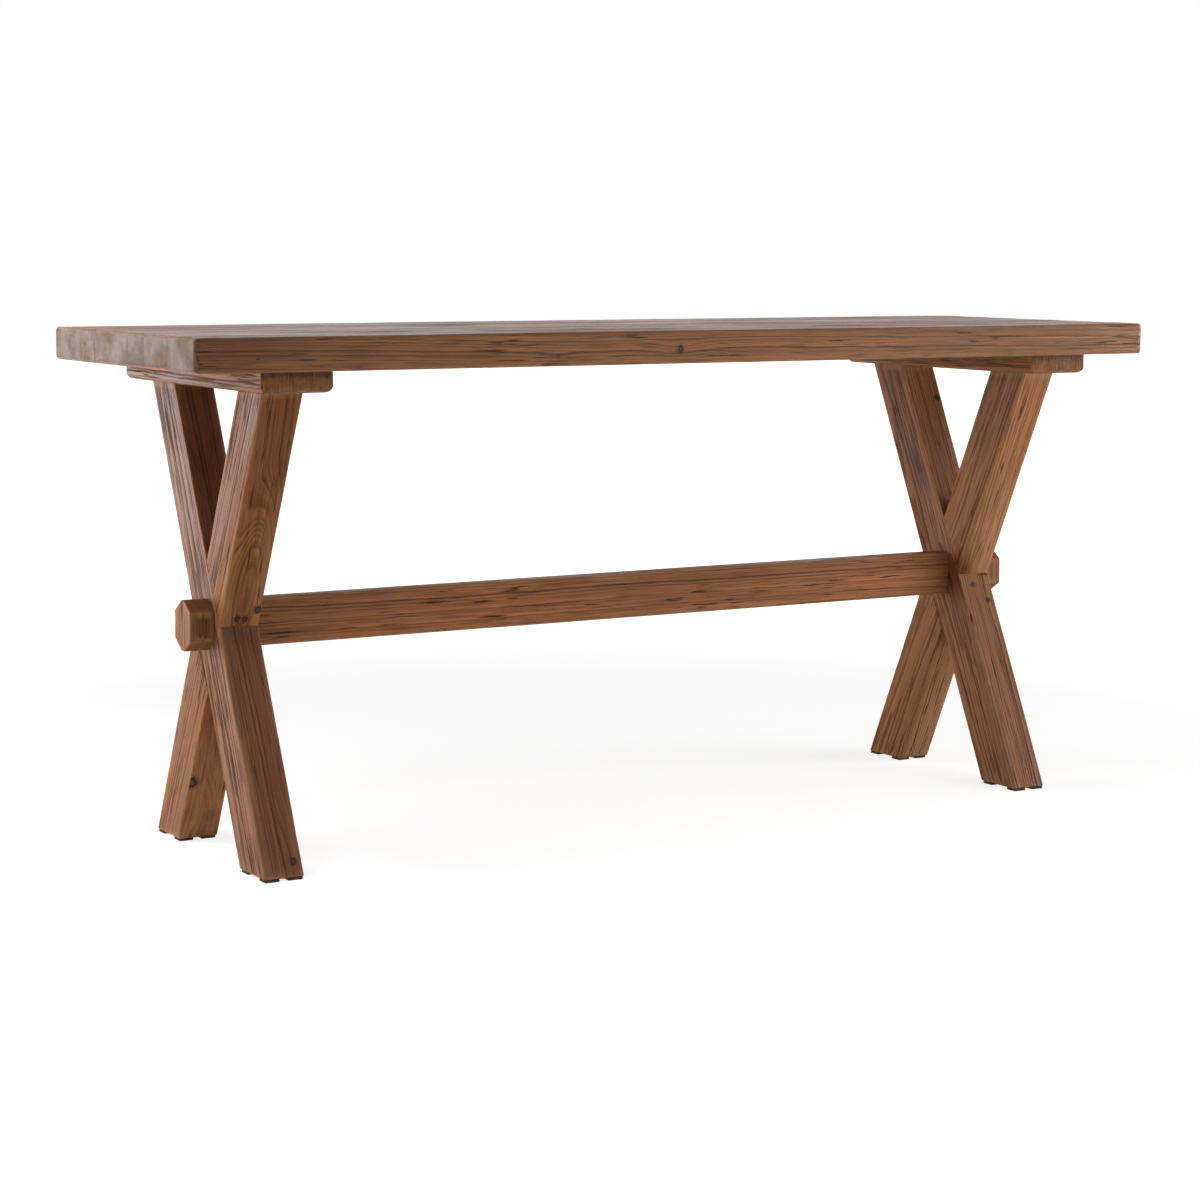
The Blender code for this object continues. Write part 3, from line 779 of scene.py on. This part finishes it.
# Levels of a pattern at which something starts and is full, and its strengths there if not 0 and 1
STREAK_LEVELS = (0.55, 0.61)
STREAK_CLOUDS = (0.42, 0.60, 0.60, 1.0)
DASH_LEVELS = (0.60, 0.68)
DASH_PATCHES = (0.46, 0.60)
STAIN_PATCHES = (0.40, 0.62, 0.12, 0.60)
# patches of the rubbed edges with their painted highlight
RUBBED_HIGHLIT_PATCHES = (0.35, 0.65)
RUBBED_HIGHLIT_LEAST = 0.35
MARK_LEVELS = (1.6, 0.7)
BLOTCH_LEVELS = (0.50, 0.62)
PIT_LEVELS = (0.53, 0.62)

# Lengths over which the stain sets in, the ragged edge of the painted shadow on sawn ends reaches and
# fades, and the painted shadow's strength
STAIN_REACH = 0.10
# painted shadow under the top on sawn ends
END_SHADOW_RAGGEDNESS = 0.024
END_SHADOW_FADE = 0.010
END_SHADOW_STRENGTH = 0.6

# Brightness: shares of fibres, bands, clouds and patches, levels on sides and on ends, and their spread
MOTTLE_SHARES = (0.30, 0.30, 0.25, 0.15)
MOTTLE_LEVELS = (0.30, 0.70)
SAWN_LEVELS = (0.36, 0.64)
TONE_SPREAD = (0.60, 1.40)

# Year rings: spacing, wander (waves and reach), bunching, how years differ, and the late wood in one ring
RING_SPACING = 0.0050
RING_WANDER = (((1.0, 5, 5), 0.020), ((4, 20, 20), 0.006), ((22, 110, 110), 0.0022))
RING_BUNCH_WAVES = 0.35
RING_BUNCH = 1.8
YEAR_STEP = 7.3
YEAR_LEVELS = (0.40, 0.62, 0.25, 1.0)
LATE_RISE = ((0.0, 0.0), (0.40, 0.10), (0.78, 0.80), (0.90, 1.0), (1.0, 0.0))

# Knots: darkness from the middle out, its scale for one radius, the unevenness of the rim, how much a
# length along the grain counts in a distance's square, for a knot and for its swirl, and the swirl's reach
# in radii
KNOT_DARKNESS = (
    (0.0, 0.90),
    (0.08, 0.75),
    (0.20, 0.65),
    (0.30, 1.0),
    (0.46, 1.0),
    (0.60, 0.45),
    (1.0, 0.0),
)
KNOT_SCALE = 0.4
KNOT_UNEVENNESS = 1.6
KNOT_LENGTHWAYS = 1.4
SWIRL_LENGTHWAYS = 0.06
SWIRL_REACH = 5

# Roughness that rings, streaks and checks add, and clouds, fibres and sawn ends
LINE_ROUGHNESS = 0.40
CLOUD_ROUGHNESS = (0.36, 0.64, -0.06, 0.12)
FIBRE_ROUGHNESS = 0.16
END_ROUGHNESS = 0.30

# Relief: shares of rings, bands, streaks and checks, of fibres and of saw lines, and the brushing
GROOVE_SHARES = (0.45, 0.5, -0.6, -0.8)
FIBRE_RELIEF = 0.35
SAW_RELIEF = 0.3
BRUSHED_STRENGTH = 0.8
BRUSHED_DEPTH = 0.0020

# Plain materials: two colours that are flecked together, roughness, flecks for each metre, metal or not
PLAIN_MATERIALS = {
    "pad_rubber": ((0.024, 0.018, 0.015), (0.046, 0.035, 0.028), 0.85, 900, 0.0),
    "dowel_wood": ((0.50, 0.32, 0.17), (0.38, 0.23, 0.11), 0.6, 400, 0.0),
    "steel": ((0.50, 0.49, 0.46), (0.36, 0.35, 0.33), 0.38, 700, 1.0),
}
FLECK_COLOUR_LEVELS = (0.35, 0.65)
FLECK_ROUGH_LEVELS = (0.3, 0.7)
FLECK_ROUGHNESS = 0.08
FLECK_STRENGTH = 0.3
FLECK_DEPTH = 0.0002

GROWTHS = {
    "top_plank_1": Growth(
        (0.05, -0.14),
        (0.006, 0.012),
        tone=1.06,
        # painted shade towards the left end
        painted_end_shade=(-1.0, -0.6, 0.62),
        green=1.04,
        side_streaks=0.4,
        knots=(Knot(-0.076, -0.0034, "v", 0.0048, 0.007), Knot(-0.326, -0.0114, "v", 0.0030, 0.003, 0.6)),
        marks=(
            Mark(-0.982, 0.0070, "v", 0.016),
            Mark(-0.989, -0.0127, "v", 0.007, 0.0030),
            Mark(-0.890, -0.0064, "v", 0.005, 0.0022),
            Mark(-0.456, 0.0002, "v", 0.046, 0.0026),
            Mark(0.631, 0.0060, "v", 0.012),
            Mark(0.980, -0.0088, "v", 0.012),
            Mark(0.940, 0.0250, "v", 0.050),
        ),
    ),
    "top_plank_2": Growth((-0.03, 0.11), (0.01, 0.02), tone=1.24),
    "top_plank_3": Growth((0.09, 0.04), (0.01, 0.01), tone=0.88),
    "top_plank_4": Growth((0.02, -0.10), (0.01, 0.02), tone=1.18),
    "top_plank_5": Growth((-0.08, 0.05), (0.02, 0.01), tone=0.90),
    "top_plank_6": Growth((0.03, 0.12), (0.01, 0.02), tone=1.12),
    "stretcher": Growth(
        (0.07, -0.13),
        (0.01, 0.012),
        tone=1.18,
        # painted shade towards the left end
        painted_end_shade=(-0.8, -0.4, 0.74),
        green=1.03,
        side_streaks=0.3,
        marks=(
            Mark(-0.711, -0.0217, "v", 0.030, 0.0022),
            Mark(-0.711, -0.0290, "v", 0.022),
            Mark(-0.411, 0.0129, "v", 0.036, 0.0040),
            Mark(-0.307, 0.0082, "v", 0.034, 0.0030),
            Mark(-0.286, -0.0210, "v", 0.040, 0.0030),
        ),
    ),
    "left_cleat": Growth(
        (0.04, -0.09),
        (0.02, 0.02),
        tone=0.60,
        green=1.03,
        end_tone=1.14,
        painted_shadow_from=0.016,
    ),
    "right_cleat": Growth(
        (-0.04, 0.09),
        (0.02, 0.02),
        tone=0.82,
        green=1.08,
        end_tone=1.04,
        painted_shadow_from=0.018,
    ),
    "left_leg_front": Growth(
        (0.13, 0.055),
        (0.008, 0.010),
        tone=0.56,
        painted_side_light=1.30,
        green=0.98,
        side_streaks=1.0,
        streaks=0.4,
        stain_from=0.27,
        knots=(Knot(-0.386, 0.0200, "w", 0.0048, 0.006),),
        marks=(Mark(-0.153, -0.0216, "v", 0.008, 0.0024),),
    ),
    "left_leg_back": Growth(
        (0.10, 0.11),
        (0.02, 0.03),
        tone=0.75,
        painted_side_light=1.04,
        green=0.95,
        blue=0.80,
        gloss=0.65,
        side_streaks=1.0,
        streaks=0.4,
        stain_from=0.31,
        knots=(
            Knot(0.025, 0.0310, "w", 0.0055, 0.007),
            Knot(0.010, -0.0055, "w", 0.0042, 0.006),
            Knot(0.009, 0.0088, "w", 0.0042, 0.006),
            Knot(0.080, 0.0120, "w", 0.0110, 0.050, 0.0),
            Knot(-0.300, -0.0345, "w", 0.0085, 0.010),
            Knot(-0.369, 0.0146, "w", 0.0080, 0.018, 0.25),
        ),
        marks=(Mark(0.324, 0.0269, "w", 0.012, 0.0024),),
    ),
    "right_leg_front": Growth(
        (-0.12, 0.05),
        (0.01, 0.01),
        tone=0.90,
        painted_side_light=1.15,
        green=1.05,
        blue=1.12,
        side_streaks=0.62,
        streaks=0.4,
        stain_from=0.12,
        knots=(
            Knot(0.344, 0.0260, "w", 0.0045, 0.006),
            Knot(0.252, -0.0016, "w", 0.0035, 0.005, 0.5),
            Knot(-0.025, -0.0069, "w", 0.0040, 0.005, 0.8),
            Knot(-0.056, 0.0198, "w", 0.0034, 0.005),
            Knot(0.049, -0.0171, "v", 0.0040, 0.005, 0.8),
        ),
        marks=(Mark(-0.185, -0.0107, "w", 0.045, 0.0026),),
    ),
    "right_leg_back": Growth(
        (0.11, 0.06),
        (0.01, 0.015),
        tone=1.22,
        green=1.07,
        side_streaks=0.68,
        streaks=0.4,
        stain_from=0.26,
        marks=(
            Mark(0.219, -0.0157, "w", 0.016, 0.0030),
            Mark(0.345, -0.0106, "w", 0.030, 0.0022),
            Mark(0.152, -0.0063, "w", 0.050, 0.0018),
        ),
    ),
    "left_end_block": Growth(
        (0.12, 0.05),
        (0.02, 0.02),
        tone=0.66,
        marks=(Mark(-0.015, -0.0030, "w", 0.006, 0.0026), Mark(-0.017, 0.0060, "w", 0.005, 0.0024)),
    ),
    "right_end_block": Growth((-0.12, 0.05), (0.02, 0.02), tone=0.95),
}


class Wood(Shader):
    """Stained softwood that grows through a board, by the place in the timber that its mesh stores."""

    def __init__(self, node):
        super().__init__(f"wood_{node}")
        self.growth = GROWTHS[node]
        self.lacquer = TOP_LACQUER if node.startswith("top") else FRAME_LACQUER
        self.seed = tuple(seed_of(node))
        self.place = self.attribute("grain", "Vector")
        self.along, self.across, self.up = self.parts(self.place)
        self.edge = self.attribute("edge", "Fac")
        self.end = self.attribute("end", "Fac")
        self.side_grain = self.less(1.0, self.end)
        toward_v = self.attribute("facing_v", "Fac")
        self.toward = {"v": toward_v, "w": self.less(1.0, toward_v)}
        self.sideways = {"v": self.up, "w": self.across}
        self.fibre = self.pattern(FIBRE_WAVES, 3)
        self.bands = self.pattern(BAND_WAVES, 3)
        self.cloud = self.pattern(CLOUD_WAVES)
        self.patch = self.pattern(PATCH_WAVES)
        self.saw = self.pattern(SAW_WAVES)
        push, self.knotted = self.knots()
        self.late = self.rings(push)
        self.streaked = self.streaks()
        self.checked = self.checks()

    def pattern(self, waves, detail=2):
        """Noise in the timber."""
        return self.noise(self.place, waves, self.seed, detail)

    def swing(self, waves, reach):
        """Noise in the timber between about minus and plus half of a reach."""
        return self.times(self.less(self.pattern(waves), 0.5), reach)

    def knots(self):
        """Over the board's knots: how far they push the rings, and how dark they are."""
        uneven = self.swing(KNOT_RIM_WAVES, KNOT_UNEVENNESS)
        push, dark = 0.0, 0.0
        for knot in self.growth.knots:
            seen = self.toward[knot.way]
            sideways = self.less(self.sideways[knot.way], knot.across)
            lengthways = self.less(self.along, knot.along)
            side_square = self.times(sideways, sideways)
            length_square = self.times(lengthways, lengthways)
            near = self.math("SQRT", self.add(side_square, self.times(length_square, KNOT_LENGTHWAYS)))
            far = self.math("SQRT", self.add(side_square, self.times(length_square, SWIRL_LENGTHWAYS)))
            swirl = self.between(far, SWIRL_REACH * knot.size, 0.0, 0.0, knot.swirl)
            push = self.add(push, self.times(swirl, seen))
            distance = self.add(self.math("DIVIDE", near, knot.size), uneven)
            shown = self.ramp(self.times(distance, KNOT_SCALE), KNOT_DARKNESS)
            dark = self.most(dark, self.times(shown, knot.dark, seen))
        return push, dark

    def rings(self, push):
        """The late wood of the year rings: from 0 up to 1 in each ring, and sharply down again."""
        pith, lean = self.growth.pith, self.growth.lean
        off_v = self.add(self.less(self.across, pith[0]), self.times(self.along, lean[0]))
        off_w = self.add(self.less(self.up, pith[1]), self.times(self.along, lean[1]))
        wander = [self.swing(waves, reach) for waves, reach in RING_WANDER]
        radius = self.add(self.hypotenuse(off_v, off_w), *wander, push)
        ring = self.math("DIVIDE", radius, RING_SPACING)
        bunch = self.noise_along(self.times(ring, RING_BUNCH_WAVES))
        ring = self.add(ring, self.times(bunch, RING_BUNCH))
        late = self.ramp(self.math("FRACT", ring), LATE_RISE)
        year = self.noise_along(self.times(self.math("FLOOR", ring), YEAR_STEP))
        return self.times(late, self.between(year, *YEAR_LEVELS))

    def streaks(self):
        """Dark streaks along the grain, stronger in some clouds."""
        return self.times(
            self.between(self.pattern(STREAK_WAVES, 3), *STREAK_LEVELS),
            self.between(self.toward["v"], 0.0, 1.0, self.growth.streaks, self.growth.side_streaks),
            self.between(self.cloud, *STREAK_CLOUDS),
            self.side_grain,
        )

    def marks(self):
        """Over the board's marks: 1 along the middle of each, ragged towards its rim."""
        ragged = self.pattern(MARK_RIM_WAVES)
        dark = 0.0
        for mark in self.growth.marks:
            sideways = self.math("DIVIDE", self.less(self.sideways[mark.way], mark.across), mark.width)
            lengthways = self.math("DIVIDE", self.less(self.along, mark.along), mark.length)
            distance = self.add(self.hypotenuse(sideways, lengthways), ragged)
            shown = self.times(self.between(distance, *MARK_LEVELS), self.toward[mark.way])
            dark = self.most(dark, shown)
        return dark

    def checks(self):
        """Short checks that lie in patches, and the board's own marks."""
        dashes = self.between(self.pattern(DASH_WAVES), *DASH_LEVELS)
        patchy = self.times(dashes, self.between(self.patch, *DASH_PATCHES), self.side_grain)
        return self.most(patchy, self.marks())

    def toned(self, value, levels, tone):
        """A pattern's levels, spread around a tone."""
        return self.between(value, *levels, TONE_SPREAD[0] * tone, TONE_SPREAD[1] * tone)

    def brightness(self):
        """Light and dark of the sides: fibres, bands, clouds and patches, the board's own tone, painted
        light on the sides that face v, and a painted shade at one end.
        """
        mottle = self.shares((self.fibre, self.bands, self.cloud, self.patch), MOTTLE_SHARES)
        # painted light on the sides that face v
        painted_side_light = self.between(self.toward["v"], 0.0, 1.0, 1.0, self.growth.painted_side_light)
        # painted shade: darker towards one end of the board, where less light falls
        start, stop, painted_shade_tone = self.growth.painted_end_shade
        shade = self.between(self.along, start, stop, painted_shade_tone, 1.0)
        return self.times(self.toned(mottle, MOTTLE_LEVELS, self.growth.tone), painted_side_light, shade)

    def stained(self):
        """A patchy stain high up on the sides that face v."""
        start = self.growth.stain_from
        high_up = self.times(self.between(self.along, start, start + STAIN_REACH), self.toward["v"])
        return self.times(high_up, self.between(self.patch, *STAIN_PATCHES), self.side_grain)

    def rubbed_and_highlit(self):
        """How far the edges are rubbed and given a painted highlight, more in some patches."""
        full = self.lacquer.rubbed_and_highlit
        patchy = self.between(self.patch, *RUBBED_HIGHLIT_PATCHES, RUBBED_HIGHLIT_LEAST * full, full)
        return self.times(self.edge, patchy, self.side_grain)

    def side_colour(self):
        """The colour of the sides: rings, brightness, stain, streaks, rubbed edges with a painted
        highlight, checks and knots.
        """
        colour = self.mix(self.times(self.late, self.side_grain), EARLY_WOOD, LATE_WOOD)
        colour = self.mix(1.0, colour, self.grey(self.brightness()), "MULTIPLY")
        colour = self.mix(self.stained(), colour, STAIN_AND_PAINTED_SHADE)
        colour = self.mix(self.times(self.streaked, STREAK_STRENGTH), colour, STREAK)
        # rubbed edges, lightened also as a painted highlight
        colour = self.mix(self.rubbed_and_highlit(), colour, RUBBED_AND_HIGHLIT)
        colour = self.mix(self.times(self.checked, CHECK_STRENGTH), colour, CHECK)
        return self.mix(self.knotted, colour, KNOT)

    def sawn_colour(self):
        """The colour of a sawn end: saw lines, stripes, blotches, pits, and a painted shadow under the top
        along its upper edge.
        """
        shares = self.lacquer.sawn
        stripe = self.pattern(STRIPE_WAVES)
        blotch = self.pattern(BLOTCH_WAVES, 4)
        pit = self.pattern(PIT_WAVES)
        mottle = self.shares((self.saw, stripe, blotch), shares)
        shade = self.toned(mottle, SAWN_LEVELS, self.growth.end_tone)
        colour = self.mix(1.0, self.grey(shade), END_GRAIN, "MULTIPLY")
        colour = self.mix(self.between(blotch, *BLOTCH_LEVELS, 0.0, shares[2]), colour, STAIN_AND_PAINTED_SHADE)
        colour = self.mix(self.between(pit, *PIT_LEVELS, 0.0, shares[2]), colour, STAIN_AND_PAINTED_SHADE)
        # painted shadow of the top over the upper part of the end, with a ragged edge
        height = self.add(self.up, self.times(self.pattern(END_SHADOW_WAVES), END_SHADOW_RAGGEDNESS))
        start = self.growth.painted_shadow_from
        painted_end_shadow = self.between(height, start, start + END_SHADOW_FADE, 0.0, END_SHADOW_STRENGTH)
        return self.mix(painted_end_shadow, colour, STAIN_AND_PAINTED_SHADE)

    def roughness(self):
        """The lacquer's roughness, with duller rings, streaks, checks, clouds, fibres and ends."""
        lines = self.most(self.times(self.late, self.side_grain), self.most(self.streaked, self.checked))
        clouds = self.between(self.cloud, *CLOUD_ROUGHNESS)
        rough = self.add(self.lacquer.roughness, self.times(lines, LINE_ROUGHNESS), clouds)
        dull = self.times(self.fibre, FIBRE_ROUGHNESS), self.times(self.end, END_ROUGHNESS)
        return self.add(rough, *dull)

    def relief(self):
        """The brushed surface: raised rings and bands, sunk streaks and checks, fibres and saw lines."""
        grooves = self.shares((self.late, self.bands, self.streaked, self.checked), GROOVE_SHARES)
        sawn = self.times(self.end, self.times(self.saw, SAW_RELIEF))
        return self.add(self.times(grooves, self.side_grain), self.times(self.fibre, FIBRE_RELIEF), sawn)


def wood_material(node):
    """The wood of one board."""
    wood = Wood(node)
    growth = wood.growth
    colour = wood.mix(wood.end, wood.side_colour(), wood.sawn_colour())
    colour = wood.mix(1.0, colour, (1.0, growth.green, growth.blue), "MULTIPLY")
    wood.bump(wood.relief(), BRUSHED_STRENGTH, BRUSHED_DEPTH)
    return wood.finish(colour, wood.roughness(), specular=wood.lacquer.gloss * growth.gloss)


def plain_material(slot):
    """A plain material with a fine fleck in its colour, gloss and surface."""
    colour, other, roughness, waves, metallic = PLAIN_MATERIALS[slot]
    s = Shader(slot)
    place = s.node("ShaderNodeTexCoord").outputs["Object"]
    fleck = s.noise(place, (waves, waves, waves), detail=3)
    mixed = s.mix(s.between(fleck, *FLECK_COLOUR_LEVELS), colour, other)
    spread = roughness - FLECK_ROUGHNESS, roughness + FLECK_ROUGHNESS
    s.bump(fleck, FLECK_STRENGTH, FLECK_DEPTH)
    return s.finish(mixed, s.between(fleck, *FLECK_ROUGH_LEVELS, *spread), metallic=metallic)


def make_piece(board, kind, material):
    """Builds a board's piece and lets it stand for its node."""
    piece = add_object(f"{board.node}_{kind}", sweep_board(board))
    cut_to_node(piece, board.node)
    piece.data.shade_smooth()
    piece.data.set_sharp_from_angle(angle=SHARP_ANGLE)
    mark_surface(piece, board)
    piece.data.materials.clear()
    piece.data.materials.append(material)
    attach(piece, "root")
    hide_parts(board.node)


def make_pieces():
    """Builds the timbers and the pads."""
    for board in all_boards():
        make_piece(board, "timber", wood_material(board.node))
    rubber = plain_material("pad_rubber")
    for board in pad_boards():
        make_piece(board, "worn", rubber)


def dress_nodes():
    """Gives the nodes that stay as built their materials."""
    materials = {slot: plain_material(slot) for slot in ("dowel_wood", "steel")}
    for node, obj in frame["nodes"].items():
        if SLOT_OF[node] in materials:
            obj.data.materials.clear()
            obj.data.materials.append(materials[SLOT_OF[node]])


def make_camera():
    """A camera that frames the table as the photograph does."""
    data = bpy.data.cameras.new("camera")
    data.sensor_width = SENSOR_WIDTH
    data.lens = SENSOR_WIDTH * FOCAL_PIXELS / PHOTO_SIDE
    data.shift_x = 0.5 - CENTRE_PIXEL[0] / PHOTO_SIDE
    data.shift_y = CENTRE_PIXEL[1] / PHOTO_SIDE - 0.5
    camera = bpy.data.objects.new("camera", data)
    turn = Matrix.Rotation(-CAMERA_YAW, 4, "Z")
    turn @= Matrix.Rotation(math.pi / 2 + CAMERA_PITCH, 4, "X")
    turn @= Matrix.Rotation(CAMERA_ROLL, 4, "Z")
    camera.matrix_world = Matrix.Translation(CAMERA_PLACE) @ turn
    bpy.context.scene.collection.objects.link(camera)
    bpy.context.scene.camera = camera


def make_softbox(name, place, target, size, power, spread):
    """A rectangular lamp that points at a target; a small spread keeps its light together."""
    data = bpy.data.lights.new(name, "AREA")
    data.shape = "RECTANGLE"
    data.size, data.size_y = size
    data.energy = power
    data.spread = math.radians(spread)
    lamp = bpy.data.objects.new(name, data)
    lamp.location = place
    aim = Vector(target) - Vector(place)
    lamp.rotation_euler = aim.to_track_quat("-Z", "Y").to_euler()
    bpy.context.scene.collection.objects.link(lamp)


def seen_directly(wiring):
    """1 for rays from the camera and for what gloss and glass show of the surroundings."""
    path = wiring.node("ShaderNodeLightPath").outputs
    seen = wiring.most(path["Is Camera Ray"], path["Is Glossy Ray"])
    return wiring.most(seen, path["Is Transmission Ray"])


def make_world():
    """A soft even light whose background shows white, and in gloss only behind the table."""
    world = bpy.data.worlds.new("studio")
    bpy.context.scene.world = world
    world.use_nodes = True
    wiring = Wiring(world.node_tree)
    path = wiring.node("ShaderNodeLightPath").outputs
    way = wiring.parts(wiring.node("ShaderNodeTexCoord").outputs["Generated"])
    mirrored = wiring.times(wiring.between(way["Y"], *BACKDROP_EDGE), path["Is Glossy Ray"])
    direct = wiring.most(path["Is Camera Ray"], path["Is Transmission Ray"])
    white = wiring.times(wiring.most(direct, mirrored), 1.0 - AMBIENT)
    background = wiring.tree.nodes["Background"]
    background.inputs["Color"].default_value = (1, 1, 1, 1)
    wiring.feed(background.inputs["Strength"], wiring.add(white, AMBIENT))


def floor_material():
    """Matt and pale, with a white glow that fades in around the table's shadow."""
    material = bpy.data.materials.new("floor")
    material.use_nodes = True
    wiring = Wiring(material.node_tree)
    wiring.tree.nodes.remove(wiring.tree.nodes["Principled BSDF"])
    matt = wiring.node("ShaderNodeBsdfDiffuse")
    matt.inputs["Color"].default_value = (FLOOR_ALBEDO, FLOOR_ALBEDO, FLOOR_ALBEDO, 1)
    glow = wiring.node("ShaderNodeEmission")
    glow.inputs["Strength"].default_value = FLOOR_GLOW_STRENGTH
    place = wiring.node("ShaderNodeTexCoord").outputs["Object"]
    reach = wiring.fed(wiring.node("ShaderNodeVectorMath", operation="LENGTH"), (place,)).outputs["Value"]
    share = wiring.between(reach, *SHADOW_FADE, FLOOR_GLOW, 1.0)
    shown = wiring.times(share, seen_directly(wiring))
    mixed = wiring.fed(wiring.node("ShaderNodeMixShader"), (shown, matt.outputs[0], glow.outputs[0]))
    wiring.feed(wiring.tree.nodes["Material Output"].inputs["Surface"], mixed.outputs[0])
    return material


def make_floor():
    """A plain pale floor that shows white, and keeps the table's soft shadow around its feet."""
    bm = bmesh.new()
    bmesh.ops.create_grid(bm, x_segments=1, y_segments=1, size=FLOOR_HALF_SIDE)
    floor = add_object("floor", bm)
    floor.location.z = -FLOOR_DROP
    floor.data.materials.append(floor_material())


def make_studio():
    """Camera, softboxes, background and floor."""
    make_camera()
    for softbox in SOFTBOXES:
        make_softbox(*softbox)
    make_world()
    make_floor()
    bpy.context.scene.view_settings.view_transform = "Standard"


make_pieces()
dress_nodes()
make_studio()
